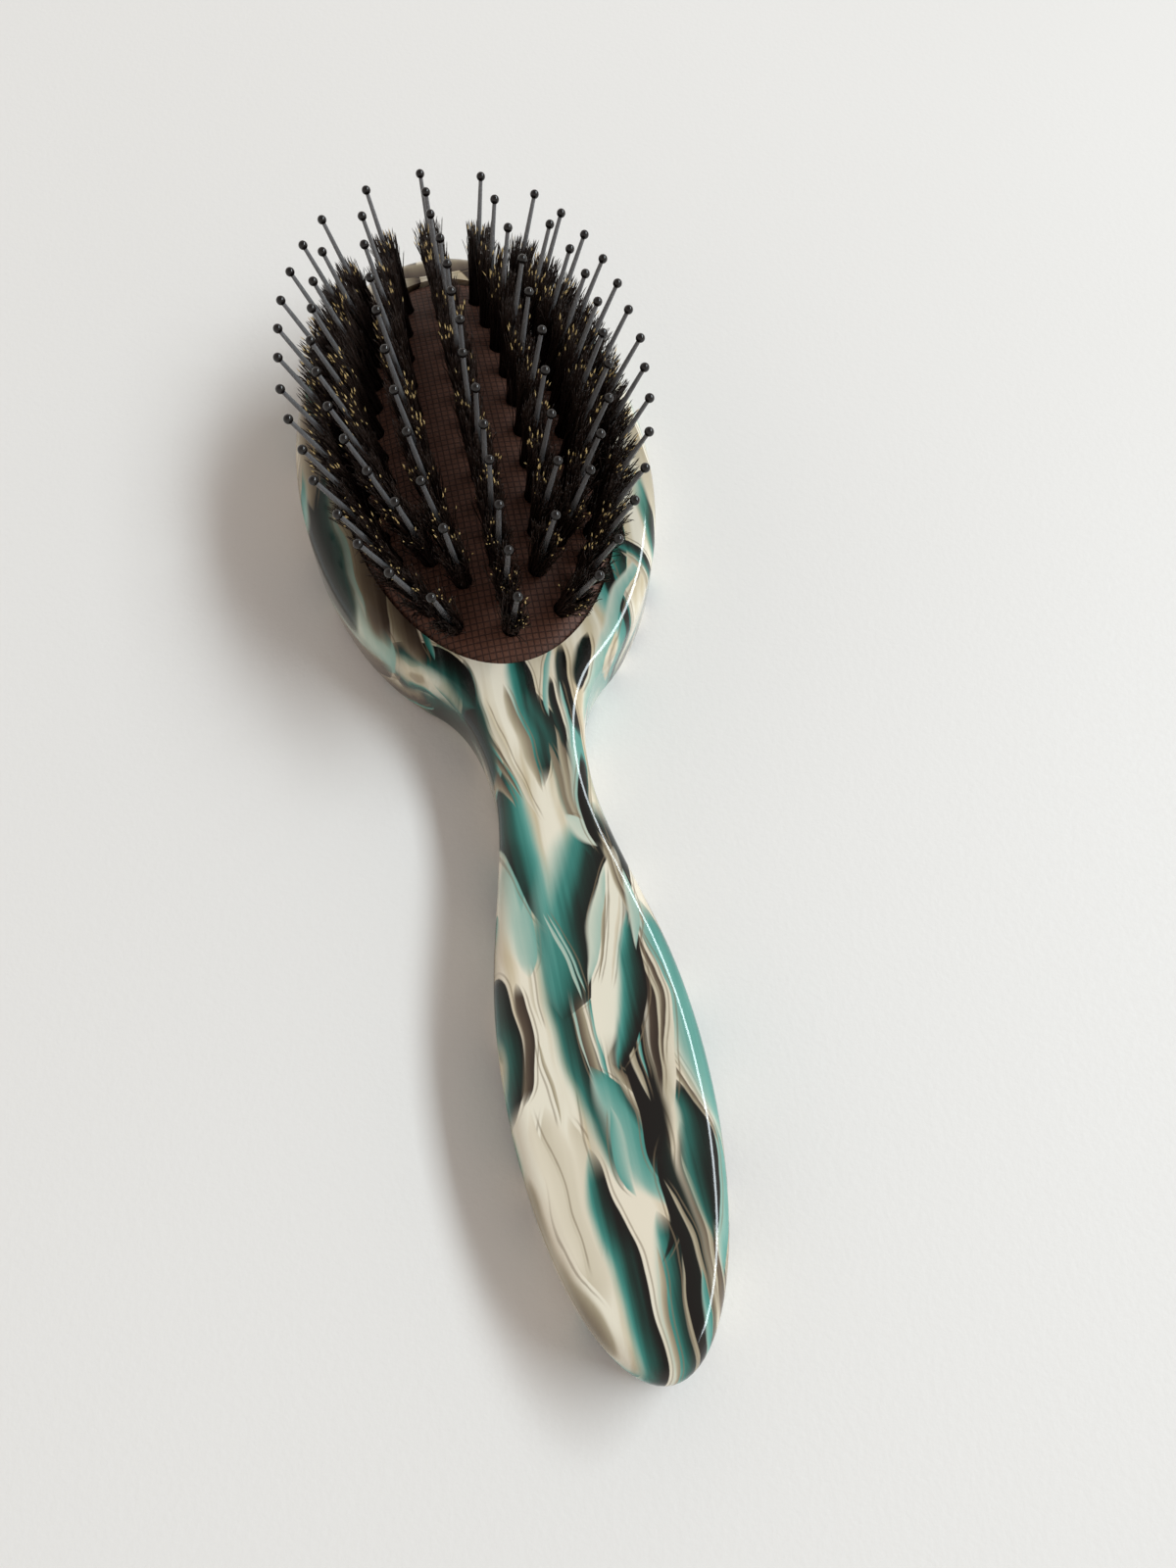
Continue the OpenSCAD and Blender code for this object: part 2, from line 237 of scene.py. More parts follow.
# Ribbons of colour in the cast sheet, laid one over another, on the face of the brush.
# Each goes from one end to the other, in mm: x0, y0, x1, y1, then its width, how far its middle
# bows to +X, how full its ends are, the side with the crisp edge, the tone at the soft edge,
# the tone at the crisp edge, and whether it is warm (1) or cool (0).
RIBBONS = [
    # The wide end of the handle.
    # This first one, a dark warm line along the left rim of the wide end, is painted shade where the
    # side wall shows.
    (-15.2, -60, -4, -103, 2.0, -2.8, 3, -1, 0.10, 0.62, 1),
    (-9.4, -64, -7, -92, 6.0, 0.6, 2, -1, 0.00, 0.20, 1),
    (-6.8, -66, -6.6, -86, 3.0, 0.9, 2, 1, 0.00, 0.20, 1),
    (-11.4, -64, -8.6, -88, 2.6, -0.8, 2, 1, 0.00, 0.12, 1),
    (-4.6, -62, -3.0, -80, 2.2, 0.4, 2, -1, 0.00, 0.22, 1),
    (-9.4, -54, -7.6, -68, 0.7, 0.3, 2, -1, 0.05, 0.50, 1),
    (-7.4, -38, -5.4, -62, 1.6, 0.7, 2, 1, 0.00, 0.46, 1),
    (-8.2, -40, -8.0, -54, 0.6, -0.3, 2, 1, 0.00, 0.24, 1),
    (-13.4, -42, -13.8, -66, 3.0, 0.5, 4, 1, 0.30, 0.95, 0),
    (-10.4, -46, -12.2, -64, 1.9, 0.7, 6, 1, 0.55, 0.95, 1),
    (-4.8, -71, -1.0, -107, 4.6, -0.9, 4, 1, 0.08, 1.00, 0),
    (-5.0, -34, -0.6, -78, 5.6, -1.2, 3, 1, 0.26, 1.00, 0),
    (-4.0, -37, -1.6, -64, 0.7, -0.1, 4, 1, 0.08, 0.34, 0),
    (-2.0, -44, -0.7, -68, 1.6, -0.1, 4, -1, 0.02, 0.80, 1),
    (-0.6, -46, 0.2, -66, 1.1, 0.2, 3, 1, 0.02, 0.60, 0),
    (-2.0, -60, 5.6, -82, 6.6, -0.6, 2.6, 1, 0.08, 0.56, 0),
    (-1.0, -66, 0.8, -79, 2.4, -0.4, 2, -1, 0.12, 0.44, 0),
    (2.4, -38, 3.2, -71, 5.8, 0.9, 5, 1, 0.70, 1.00, 0),
    (1.4, -60, 6.4, -78, 3.2, 0.6, 2, 1, 0.00, 0.78, 1),
    (2.0, -63, 5.4, -74, 1.0, 0.5, 2, -1, 0.00, 0.30, 1),
    (7.4, -42, 5.4, -79, 4.4, -0.5, 4, -1, 0.90, 1.00, 0),
    (5.0, -44, 5.2, -67, 1.0, -0.3, 4, 1, 0.04, 0.50, 1),
    (6.2, -46, 6.0, -64, 0.7, 0.2, 3, 1, 0.15, 0.55, 0),
    (2.4, -81, 3.4, -107, 5.2, -0.5, 4, 1, 0.02, 1.00, 0),
    (5.9, -72, 0.8, -88, 1.3, 1.8, 3, 1, 0.85, 1.00, 0),
    (0.6, -85, 1.4, -104, 1.0, -0.1, 3, 1, 0.00, 0.55, 1),
    (4.5, -85, 4.9, -103, 1.7, -0.3, 2.5, 1, 0.10, 0.60, 1),
    (6.1, -71, 6.9, -106, 4.4, 0.0, 3, -1, 0.70, 1.00, 0),
    (5.1, -77, 7.6, -98, 0.9, 0.4, 3, 1, 0.10, 0.55, 1),
    (6.9, -89, 6.6, -102, 1.3, 0.1, 2, 1, 0.12, 0.56, 0),
    (8.3, -70, 10.4, -99, 4.2, 0.2, 3, 1, 0.55, 0.85, 1),
    (8.0, -74, 9.0, -94, 0.9, 0.6, 3, 1, 0.10, 0.45, 1),
    (9.3, -79, 11.2, -94, 0.9, 0.3, 3, 1, 0.06, 0.50, 1),
    (10.3, -78, 12.0, -92, 0.7, 0.3, 3, 1, 0.06, 0.50, 1),
    (13.0, -70, 10.8, -91, 3.6, 0.3, 2.4, 1, 0.05, 0.46, 0),
    (9.0, -63, 9.8, -87, 4.4, 0.7, 2.6, 1, 0.28, 1.00, 0),
    (9.0, -57, 13.4, -75, 0.9, -0.3, 2, 1, 0.05, 0.80, 1),
    (11.0, -60, 12.6, -70, 0.8, -0.2, 2, 1, 0.05, 0.40, 1),
    (10.8, -36, 14.2, -74, 7.4, 1.5, 3, 1, 0.10, 0.62, 0),
    (8.6, -39, 7.4, -69, 3.6, 1.9, 3, 1, 0.60, 0.06, 1),
    (7.9, -41, 6.9, -67, 1.6, 1.5, 3, 1, 0.70, 0.98, 1),
    (9.3, -40, 8.7, -63, 0.8, 1.7, 3, 1, 0.40, 0.90, 1),
    # The upper handle, with the large dark pool.
    (-9.0, -26, -8.4, -46, 4.6, 0.0, 3, 1, 0.02, 0.36, 0),
    (-8.0, -3, -7.8, -36, 3.0, 0.3, 3, 1, 0.22, 0.44, 0),
    (-5.8, -9, -3.2, -41, 5.6, -0.8, 2.4, -1, 0.00, 0.84, 0),
    (8.8, -19, -4.6, -53, 14.5, -0.8, 2.6, 1, 0.12, 0.96, 0),
    (8.2, -21, -0.6, -51, 5.6, -1.3, 2.6, 1, 0.60, 1.00, 0),
    (8.8, -27, 0.6, -60, 5.6, 0.4, 3, -1, 0.06, 0.00, 0),
    (6.5, -30, 0.0, -49, 2.4, 0.1, 2, 1, 0.06, 0.26, 0),
    (6.2, -34, 1.6, -49, 0.7, 0.3, 2, 1, 0.10, 0.62, 1),
    (8.4, -34, 3.4, -50, 0.7, 0.4, 2, 1, 0.00, 0.22, 1),
    (8.8, -38, 2.2, -62, 4.4, 1.0, 3, 1, 0.02, 1.00, 0),
    (6.0, -21, 10.6, -43, 1.4, -0.5, 3, 1, 0.04, 0.85, 1),
    (6.9, -24, 11.4, -42, 0.8, -0.4, 3, 1, 0.04, 0.60, 1),
    (9.6, -31, 9.2, -45, 1.8, 0.3, 2, 1, 0.08, 0.30, 0),
    (-4.4, -36, -1.0, -51, 0.7, 0.0, 3, 1, 0.14, 0.30, 0),
    (-3.6, -36, -0.4, -50, 0.5, 0.0, 3, 1, 0.16, 0.36, 0),
    # The neck.
    (-0.6, 11, -0.2, -16, 4.4, -0.2, 4, 1, 0.02, 1.00, 0),
    (0.4, 3, 4.6, -29, 4.0, 0.9, 4, 1, 0.50, 0.94, 0),
    (1.4, -8, 3.6, -26, 1.4, 0.6, 3, 1, 0.45, 0.62, 1),
    (3.2, -5, 5.4, -28, 1.7, -0.1, 3, 1, 0.02, 0.72, 1),
    (4.4, -10, 5.6, -26, 0.6, -0.1, 3, 1, 0.04, 0.60, 1),
    (2.4, -21, 6.2, -27.5, 3.2, 0.0, 2, 1, 0.10, 0.20, 0),
    (7.0, 1, 6.0, -26, 3.0, -0.6, 3, 1, 0.05, 0.52, 0),
    (7.0, -10, 6.5, -29, 2.2, -0.2, 3, -1, 0.80, 1.00, 0),
    (-8.6, 3, -4.0, -18, 0.8, -1.3, 3, 1, 0.06, 0.90, 1),
    (-7.7, 3, -3.3, -17, 0.6, -1.3, 3, 1, 0.06, 0.85, 1),
    (-9.2, 1, -5.4, -19, 0.9, -1.0, 3, 1, 0.04, 0.80, 1),
    (-6.6, 2, -1.6, -22, 1.0, -1.2, 3, 1, 0.00, 0.26, 1),
    (-3.0, 4, -0.4, -17, 1.8, -0.8, 3, 1, 0.00, 0.60, 1),
    (-9.4, 10, -8.4, -14, 3.4, 0.7, 3, -1, 0.50, 1.00, 0),
    (4.7, 4, 4.2, -10, 1.6, -0.2, 6, 1, 0.60, 1.00, 0),
    (7.7, 10, 7.6, -8, 2.2, -1.0, 4, 1, 0.60, 1.00, 0),
    (6.4, 10, 2.8, -4, 1.2, -0.5, 3, -1, 0.10, 0.42, 0),
    (6.4, 3, 5.2, -11, 0.7, 0.2, 3, 1, 0.10, 0.45, 0),
    # The near end of the head.
    (-25, 66, -20, 8, 13.0, -2.0, 4, -1, 0.10, 0.42, 1),
    (-21, 15, -8.2, 0, 5.2, 1.8, 3, 1, 0.40, 1.00, 0),
    (-23, 13, -9.6, -6, 1.6, 1.4, 3, 1, 0.08, 0.46, 0),
    (-25, 13, -10.6, -7, 1.8, 1.2, 3, 1, 0.20, 0.80, 1),
    (-17.8, 33, -16, 9, 4.0, -1.2, 3, 1, 0.20, 0.92, 1),
    (-15, 24, -14.6, 10, 1.4, 0.6, 3, -1, 0.10, 0.66, 0),
    (-24.5, 27, -20, 11, 4.0, -0.9, 2.4, 1, 0.05, 0.33, 0),
    (-22.6, 48, -20.4, 14, 5.2, -1.2, 3, 1, 0.30, 0.90, 1),
    (-25.6, 44, -23.0, 20, 1.2, -1.0, 3, 1, 0.04, 0.30, 0),
    (-27.2, 55, -25.0, 19, 5.6, -1.8, 3, -1, 0.50, 0.98, 0),
    (-29.6, 60, -28.6, 24, 1.6, -1.4, 3, -1, 0.10, 0.60, 0),
    (16, 26, 17.6, 8, 5.0, 0.4, 2.6, 1, 0.10, 0.62, 0),
    (17.4, 30, 19.0, 10, 2.0, 0.3, 3, 1, 0.70, 1.00, 0),
    (26, 27, 9.2, -5, 2.2, -2.0, 3, 1, 0.04, 0.36, 0),
    (18.6, 30, 27, 18, 2.4, 1.2, 2.4, 1, 0.20, 0.98, 0),
    (21, 26, 25.4, 14, 1.2, 1.0, 2.4, 1, 0.04, 0.45, 1),
    (12, 11, 9.2, 0, 2.8, -0.5, 2.6, 1, 0.70, 1.00, 0),
    (27, 62, 29.5, 32, 3.4, 1.0, 3, 1, 0.04, 0.40, 1),
    (22, 88, 28.6, 60, 4.6, 2.0, 3, -1, 0.20, 0.92, 0),
    (-28.6, 78, -29, 44, 3.0, -1.0, 3, 1, 0.12, 0.62, 1),
    (-14, 98, -27, 70, 5.0, -1.8, 3, 1, 0.12, 0.96, 0),
    (14, 99.5, -12, 98, 4.0, 0.0, 3, 1, 0.20, 0.85, 1),
]

# The marbling's layers lie at a slant: X and Y slip by these shares of the depth below FACE_Z.
FACE_Z = 14.0
SHEAR_X = 0.34
SHEAR_Y = 0.55
# The slow swell pushes the layers sideways by up to this share of the depth, and the wave and the
# fine grain by up to these lengths in mm, all half to each side.
SLOW_PUSH = 1.4
WAVE_PUSH = 4.4
GRAIN_PUSH = 0.30
# A ribbon reaches HALF_SHARE of its width to each side, a little over half as its soft edge fades
# in over SOFT_SHARE of it. Its crisp edge is this many mm wide, and its ends fade out from
# END_SHARE of its half length. Its brown line lies LINE_OUTSIDE mm outside the crisp edge.
HALF_SHARE = 0.58
CRISP_EDGE = 0.16
SOFT_SHARE = 0.34
END_SHARE = 0.72
TONE_POWER = 0.65
LINE_OUTSIDE = 0.42
LINE_COLOUR = (0.20, 0.150, 0.095, 1.0)
VEIL_COLOUR = (0.66, 0.585, 0.45, 1.0)


def add_sockets(tree, way, kind, names):
    for name in names:
        tree.interface.new_socket(name, in_out=way, socket_type=kind)


def palette_group():
    """Tone and warmth to a colour of the cast sheet."""
    tree = bpy.data.node_groups.new("acetate_palette", "ShaderNodeTree")
    add_sockets(tree, "INPUT", "NodeSocketFloat", ["Tone", "Warm"])
    add_sockets(tree, "OUTPUT", "NodeSocketColor", ["Colour"])
    w = Wires(tree)
    given = tree.nodes.new("NodeGroupInput").outputs
    cool = w.ramp(given["Tone"], COOL, "B_SPLINE")
    warm = w.ramp(given["Tone"], WARM, "B_SPLINE")
    result = tree.nodes.new("NodeGroupOutput")
    tree.links.new(w.mix(given["Warm"], cool, warm), result.inputs["Colour"])
    return tree


def ribbon_group(palette):
    """Lays one ribbon over the colour that is there already."""
    tree = bpy.data.node_groups.new("acetate_ribbon", "ShaderNodeTree")
    add_sockets(tree, "INPUT", "NodeSocketColor", ["Colour"])
    add_sockets(tree, "INPUT", "NodeSocketFloat", [
        "X", "Y", "Middle X", "Middle Y", "Cos", "Sin", "Half length", "Half width",
        "Bow", "Fullness", "Side", "Soft tone", "Crisp tone", "Warm", "Grain"])
    add_sockets(tree, "OUTPUT", "NodeSocketColor", ["Colour"])
    add_sockets(tree, "OUTPUT", "NodeSocketFloat", ["Next X"])
    w = Wires(tree)
    g = tree.nodes.new("NodeGroupInput").outputs
    dx = w.sub(g["X"], g["Middle X"])
    dy = w.sub(g["Y"], g["Middle Y"])
    along = w.add(w.mul(dx, g["Sin"]), w.mul(dy, g["Cos"]))
    across = w.sub(w.mul(dx, g["Cos"]), w.mul(dy, g["Sin"]))
    share = w.math("MINIMUM", w.math("ABSOLUTE", w.div(along, g["Half length"])), 1.0)
    bowed = w.mul(g["Bow"], w.sub(1.0, w.mul(share, share)))
    offset = w.mul(w.sub(across, bowed), g["Side"])
    half = w.mul(g["Half width"], w.sub(1.0, w.math("POWER", share, g["Fullness"])))
    half = w.math("MAXIMUM", half, 0.0001)
    # 0 at the soft edge and 1 at the crisp one.
    place = w.add(w.mul(w.div(offset, half), 0.5), 0.5)
    # How far inside the crisp edge, in mm.
    clear = w.mul(w.sub(1.0, place), w.mul(half, 2.0))
    crisp = w.span(clear, 0.0, CRISP_EDGE)
    soft = w.span(place, 0.0, SOFT_SHARE, smooth=True)
    ends = w.span(share, END_SHARE, 1.0, 1.0, 0.0, smooth=True)
    cover = w.mul(w.mul(crisp, soft), w.math("POWER", ends, 0.5))
    graded = w.math("POWER", w.math("MAXIMUM", place, 0.0), TONE_POWER)
    graded = w.math("MINIMUM", w.add(graded, g["Grain"]), 1.0)
    tone_range = w.sub(g["Crisp tone"], g["Soft tone"])
    colour = w.node("ShaderNodeGroup", node_tree=palette)
    w.put(colour.inputs["Tone"], w.add(g["Soft tone"], w.mul(tone_range, graded)))
    w.put(colour.inputs["Warm"], g["Warm"])
    result = tree.nodes.new("NodeGroupOutput")
    # A thin brown line follows the crisp edge, a little outside it.
    off_line = w.math("ABSOLUTE", w.add(clear, LINE_OUTSIDE))
    line = w.span(off_line, 0.05, 0.20, 0.55, 0.0, smooth=True)
    lined = w.mix(w.mul(line, ends), g["Colour"], LINE_COLOUR)
    tree.links.new(w.mix(cover, lined, colour.outputs["Colour"]), result.inputs["Colour"])
    # The next ribbon waits for this one, which keeps the shader's memory small.
    tree.links.new(w.add(g["X"], w.mul(cover, 0.0001)), result.inputs["Next X"])
    return tree


def ground_colour(w, palette, y, z, depth, slanted, slow):
    """Cream with broad layers, which show on the head, the walls and the back."""
    slanted_x, slanted_y = slanted
    layer_point = w.join(w.mul(slanted_x, 0.055), w.mul(slanted_y, 0.016), w.mul(z, 0.03))
    layer = w.noise(layer_point, 1.0, 2.0, 0.45, 0.6)
    drift = w.add(w.mul(layer, 5.0), w.mul(slanted_x, 0.035))
    saw = w.math("FRACT", w.add(drift, w.mul(depth, 0.085)))
    tone = w.span(saw, 0.52, 0.95)
    crisp = w.span(saw, 0.985, 1.0, 1.0, 0.0)
    off_face = w.span(depth, 0.6, 3.2, smooth=True)
    on_head = w.span(y, 4.0, 30.0, 0.0, 0.95, smooth=True)
    shown = w.math("MAXIMUM", off_face, on_head)
    ground = w.node("ShaderNodeGroup", node_tree=palette)
    w.put(ground.inputs["Tone"], w.mul(w.mul(tone, crisp), shown))
    w.put(ground.inputs["Warm"], w.span(slow, 0.44, 0.52, smooth=True))
    streak_point = w.join(w.mul(slanted_x, 0.30), w.mul(slanted_y, 0.022), w.mul(z, 0.2))
    streak = w.noise(streak_point, 1.0, 3.0)
    veil = w.mul(w.span(streak, 0.42, 0.66, smooth=True), 0.85)
    return w.mix(veil, ground.outputs["Colour"], VEIL_COLOUR, "MULTIPLY")


def lay_ribbons(w, palette, colour, slanted, grain):
    """Every ribbon in turn over that colour."""
    group = ribbon_group(palette)
    slanted_x, slanted_y = slanted
    for x0, y0, x1, y1, width, bow, full, side, soft_tone, crisp_tone, warm in RIBBONS:
        length = math.hypot(x1 - x0, y1 - y0)
        laid = w.node("ShaderNodeGroup", node_tree=group)
        given = {
            "X": slanted_x, "Y": slanted_y,
            "Middle X": (x0 + x1) / 2, "Middle Y": (y0 + y1) / 2,
            "Cos": (y0 - y1) / length, "Sin": (x0 - x1) / length,
            "Half length": length / 2, "Half width": width * HALF_SHARE,
            "Bow": float(bow), "Fullness": float(full), "Side": float(side), "Warm": float(warm),
            "Soft tone": soft_tone, "Crisp tone": crisp_tone, "Grain": grain,
        }
        w.put(laid.inputs["Colour"], colour)
        for name, value in given.items():
            w.put(laid.inputs[name], value)
        colour = laid.outputs["Colour"]
        slanted_x = laid.outputs["Next X"]
    return colour


def acetate():
    """Glossy cast sheet with marbling that runs through its whole thickness."""
    material, w, shader = new_material("marbled_acetate")
    point = w.millimetres()
    x, y, z = w.split(point)
    depth = w.sub(FACE_Z, z)
    slow = w.noise(w.vector("MULTIPLY", point, (0.05, 0.03, 0.09)), 1.0, 1.0)
    wave = w.noise(w.vector("MULTIPLY", point, (0.060, 0.062, 0.07)), 1.0, 1.5)
    fine = w.noise(w.vector("MULTIPLY", point, (0.9, 0.035, 0.5)), 1.0, 2.0)
    wave_shift = w.mul(w.sub(wave, 0.5), WAVE_PUSH)
    slow_shift = w.mul(w.sub(slow, 0.5), w.mul(depth, SLOW_PUSH))
    grain = w.mul(w.sub(fine, 0.5), GRAIN_PUSH)
    slanted_x = w.add(x, w.add(w.mul(depth, SHEAR_X), wave_shift))
    slanted_x = w.add(w.add(slanted_x, slow_shift), grain)
    slanted = (slanted_x, w.add(y, w.mul(depth, SHEAR_Y)))
    palette = palette_group()
    ground = ground_colour(w, palette, y, z, depth, slanted, slow)
    w.put(shader.inputs["Base Color"], lay_ribbons(w, palette, ground, slanted, grain))

    # Light polishing marks and a breath of unevenness on the face.
    marks = w.noise(w.vector("MULTIPLY", point, (2.4, 0.5, 2.4)), 1.0, 4.0, 0.65)
    swell = w.noise(point, 0.12, 1.0)
    w.put(shader.inputs["Roughness"], w.span(marks, 0.3, 0.7, 0.07, 0.14))
    shader.inputs["IOR"].default_value = 1.49
    shader.inputs["Coat Weight"].default_value = 0.15
    shader.inputs["Coat Roughness"].default_value = 0.04
    shader.inputs["Coat IOR"].default_value = 1.5
    height = w.add(w.mul(swell, 0.6), w.mul(marks, 0.02))
    w.put(shader.inputs["Normal"], w.bump(height, 0.25))
    return material


# ---------------------------------------------------------------- other materials
def rubber():
    """Brown moulded rubber with a fine pressed square grid, and painted shade in its grooves."""
    material, w, shader = new_material("brown_rubber")
    point = w.millimetres()
    x, y, _ = w.split(point)
    # 0 in a groove of the grid and 1 on its squares.
    lines = []
    for axis in (x, y):
        from_groove = w.math("PINGPONG", axis, GRID / MM / 2)
        lines.append(w.span(from_groove, 0.06, 0.17, smooth=True))
    squares = w.mul(*lines)
    patches = w.noise(point, 0.16, 3.0)
    dust = w.noise(point, 2.6, 4.0, 0.65)
    base = w.mix(patches, (0.082, 0.032, 0.019, 1), (0.138, 0.058, 0.036, 1))
    worn = w.mix(w.span(dust, 0.52, 0.74), base, (0.175, 0.086, 0.058, 1))
    # Painted shade: the grooves get a darker brown than the squares.
    colour = w.mix(squares, (0.048, 0.019, 0.012, 1), worn)
    w.put(shader.inputs["Base Color"], colour)
    w.put(shader.inputs["Roughness"], w.span(dust, 0.3, 0.7, 0.50, 0.62))
    shader.inputs["Specular IOR Level"].default_value = 0.28
    shader.inputs["Sheen Weight"].default_value = 0.03
    shader.inputs["Sheen Roughness"].default_value = 0.5
    relief = w.bump(squares, 0.07)
    w.put(shader.inputs["Normal"], w.bump(dust, 0.012, relief))
    return material


def nylon():
    """Smoky, slightly translucent moulded nylon with drawn streaks."""
    material, w, shader = new_material("smoky_nylon")
    point = w.millimetres()
    streaks = w.noise(w.vector("MULTIPLY", point, (3.0, 3.0, 0.25)), 1.0, 3.0)
    cloud = w.noise(point, 0.5, 2.0)
    body = w.mix(streaks, (0.130, 0.132, 0.138, 1), (0.245, 0.248, 0.256, 1))
    w.put(shader.inputs["Base Color"], w.mix(w.mul(cloud, 0.5), body, (0.15, 0.15, 0.16, 1)))
    w.put(shader.inputs["Roughness"], w.span(streaks, 0.3, 0.7, 0.18, 0.30))
    shader.inputs["Transmission Weight"].default_value = 0.25
    shader.inputs["IOR"].default_value = 1.53
    w.put(shader.inputs["Normal"], w.bump(streaks, 0.015))
    return material


def resin():
    """Glossy black resin drops, not quite even."""
    material, w, shader = new_material("black_resin")
    point = w.millimetres()
    blush = w.noise(point, 1.4, 2.0)
    colour = w.mix(blush, (0.004, 0.0035, 0.0035, 1), (0.012, 0.010, 0.010, 1))
    w.put(shader.inputs["Base Color"], colour)
    w.put(shader.inputs["Roughness"], w.span(blush, 0.3, 0.7, 0.05, 0.12))
    shader.inputs["IOR"].default_value = 1.48
    w.put(shader.inputs["Normal"], w.bump(blush, 0.02))
    return material


def bristle():
    """Dark boar bristle with pale golden cut ends."""
    material, w, shader = new_material("boar_bristle")
    point = w.millimetres()
    along = w.node("ShaderNodeAttribute", attribute_name="along").outputs["Fac"]
    gold = w.node("ShaderNodeAttribute", attribute_name="gold").outputs["Fac"]
    tint = w.noise(w.vector("MULTIPLY", point, (2.2, 2.2, 0.3)), 1.0, 3.0)
    dark = w.mix(tint, (0.0085, 0.0050, 0.0042, 1), (0.030, 0.0175, 0.0140, 1))
    dark = w.mix(w.mul(w.span(along, 0.55, 1.0), 0.30), dark, (0.045, 0.027, 0.018, 1))
    cut = w.mul(w.span(along, 0.938, 0.956, smooth=True), gold)
    ends = w.mix(tint, (0.56, 0.37, 0.12, 1), (0.90, 0.68, 0.33, 1))
    w.put(shader.inputs["Base Color"], w.mix(cut, dark, ends))
    w.put(shader.inputs["Roughness"], w.span(tint, 0.3, 0.7, 0.34, 0.48))
    shader.inputs["Specular IOR Level"].default_value = 0.35
    w.put(shader.inputs["Normal"], w.bump(tint, 0.01))
    return material


def table_top():
    """Warm white coated board with a fine pebble."""
    material, w, shader = new_material("pale_board")
    point = w.millimetres()
    pebble = w.noise(point, 0.9, 3.0, 0.55)
    broad = w.noise(point, 0.006, 1.0)
    colour = w.mix(broad, (0.800, 0.785, 0.765, 1), (0.835, 0.825, 0.808, 1))
    w.put(shader.inputs["Base Color"], colour)
    w.put(shader.inputs["Roughness"], w.span(pebble, 0.3, 0.7, 0.52, 0.62))
    w.put(shader.inputs["Normal"], w.bump(pebble, 0.045))
    return material


# ---------------------------------------------------------------- CAD nodes
def dress_node(obj, material, angle_deg):
    """Gives a CAD node its material and shades it smoothly but for its real edges."""
    mesh = obj.data
    mesh.materials.clear()
    mesh.materials.append(material)
    mesh.shade_smooth()
    for name in ("custom_normal", "sharp_edge"):
        if name in mesh.attributes:
            mesh.attributes.remove(mesh.attributes[name])
    weld = obj.modifiers.new("weld", "WELD")
    weld.merge_threshold = WELD
    split = obj.modifiers.new("edges", "EDGE_SPLIT")
    split.split_angle = math.radians(angle_deg)


def solids_of(obj):
    """The points of each separate closed solid of a CAD node, in metres."""
    mesh = obj.data
    points = np.array([v.co for v in mesh.vertices])
    keys = np.round(points / WELD).astype(np.int64)
    _, first, same = np.unique(keys, axis=0, return_index=True, return_inverse=True)
    same = same.reshape(-1)
    leader = np.arange(len(first))

    def find(i):
        while leader[i] != i:
            leader[i] = leader[leader[i]]
            i = leader[i]
        return i

    for edge in mesh.edges:
        one, other = (find(same[n]) for n in edge.vertices)
        if one != other:
            leader[max(one, other)] = min(one, other)
    groups = {}
    for i in range(len(first)):
        groups.setdefault(find(i), []).append(points[first[i]])
    return [np.array(groups[key]) for key in sorted(groups)]


def axis_of(points):
    """The two ends of a turned solid's axis, the lower one first."""
    middle = points.mean(axis=0)
    direction = np.linalg.svd(points - middle)[2][0]
    if direction[2] < 0:
        direction = -direction
    along = (points - middle) @ direction
    near = 0.05 * MM
    low = points[along < along.min() + near].mean(axis=0)
    high = points[along > along.max() - near].mean(axis=0)
    return low, high


def tuft_axes(side):
    """Where each tuft of a column leaves the rubber, and its direction, in metres."""
    found = []
    for points in solids_of(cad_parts["tufts_" + side]):
        low, high = axis_of(points)
        direction = (high - low) / np.linalg.norm(high - low)
        found.append((low + direction * FOOT_DEPTH, direction))
    return sorted(found, key=lambda item: item[0][1])


def add_mesh(name, verts, faces, material, smooth=True):
    mesh = bpy.data.meshes.new(name)
    mesh.from_pydata(verts, [], faces)
    mesh.materials.append(material)
    if smooth:
        mesh.shade_smooth()
    mesh.update()
    obj = bpy.data.objects.new(name, mesh)
    bpy.context.scene.collection.objects.link(obj)
    return obj


# ---------------------------------------------------------------- bristle tufts
def hair_line(draw, lit):
    """One bristle in its tuft's own frame, in mm: the middles of its rings and its tip, the
    rings' radii, and whether its end is gold, which is likelier on the tuft's lit side."""
    turn = draw.uniform(0, 2 * math.pi)
    root_r = math.sqrt(draw.uniform(0.36, 1.0)) * ROOT_RADIUS
    top_r = root_r * draw.uniform(*HAIR_FAN)
    growth = draw.random()
    length = HAIR_LENGTH * (0.70 + 0.33 * math.sqrt(growth))
    twist = draw.uniform(-HAIR_TWIST, HAIR_TWIST)
    if draw.random() < SHORT_SHARE:
        length *= 0.80
        top_r *= 1.25
    sway = (draw.gauss(0, 0.22), draw.gauss(0, 0.22))
    hook = (draw.gauss(0, 0.32), draw.gauss(0, 0.48))
    if draw.random() < STRAY_SHARE:
        hook = (hook[0] * 3.2, hook[1] * 3.2)
    thick = draw.uniform(*HAIR_RADIUS)
    likely = 0.07 + 0.21 * math.cos(turn - lit)
    gold = 1.0 if growth > 0.25 and draw.random() < likely else 0.0
    middles = []
    for share in (*HAIR_RINGS, 1.0):
        height = -ROOT_BELOW + (length + ROOT_BELOW) * share
        up = max(0.0, height / length)
        radius = root_r + (top_r - root_r) * up ** 1.4
        angle = turn + twist * up * up
        bulge = math.sin(math.pi * up)
        tail = max(0.0, up - 0.6) / 0.4
        wide = 1.0 + (ALONG_FLARE - 1.0) * up
        middles.append((
            radius * math.cos(angle) + sway[0] * bulge + hook[0] * tail * tail,
            wide * radius * math.sin(angle) + sway[1] * bulge + hook[1] * tail * tail,
            height,
        ))
    end = thick * (1.10 if gold else 0.80)
    return middles, [thick, thick, thick * 0.88, end], gold


